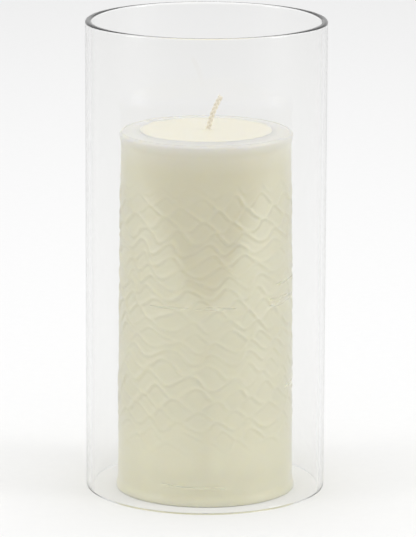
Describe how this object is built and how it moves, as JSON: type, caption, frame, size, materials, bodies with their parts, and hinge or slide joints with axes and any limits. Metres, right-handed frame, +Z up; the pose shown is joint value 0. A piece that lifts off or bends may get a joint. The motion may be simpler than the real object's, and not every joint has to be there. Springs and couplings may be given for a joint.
{
  "type": "hurricane candle lantern",
  "caption": "Embossed translucent pillar candle that stands inside a plain clear glass cylinder, open at both ends, which shields its flame from draughts.",
  "frame": {"origin": "centre of the candle's foot and of the glass's foot, on the surface that both stand on", "axes": "+Z up along the candle's axis; the wick curls over towards +X"},
  "size_m": [0.1016, 0.1016, 0.2006],
  "materials": {
    "clear_glass": "polished, with fire-polished lips",
    "translucent_wax": "hard translucent ivory wax with a soft sheen, embossed with wavy overlapping scales",
    "cream_wax": "smooth satin cream wax",
    "cotton": "braided, primed with wax",
    "tinplate": "bright pressed sheet"
  },
  "bodies": {
    "candle": {"candle_body": "translucent_wax", "top_pour": "cream_wax", "wick": "cotton", "wick_sustainer": "tinplate"},
    "glass": {"glass_cylinder": "clear_glass"}
  },
  "joints": [
    {"name": "glass_lift", "type": "slide", "parent": "candle", "child": "glass", "axis": [0, 0, 1], "range_m": [0, 0.18]}
  ]
}
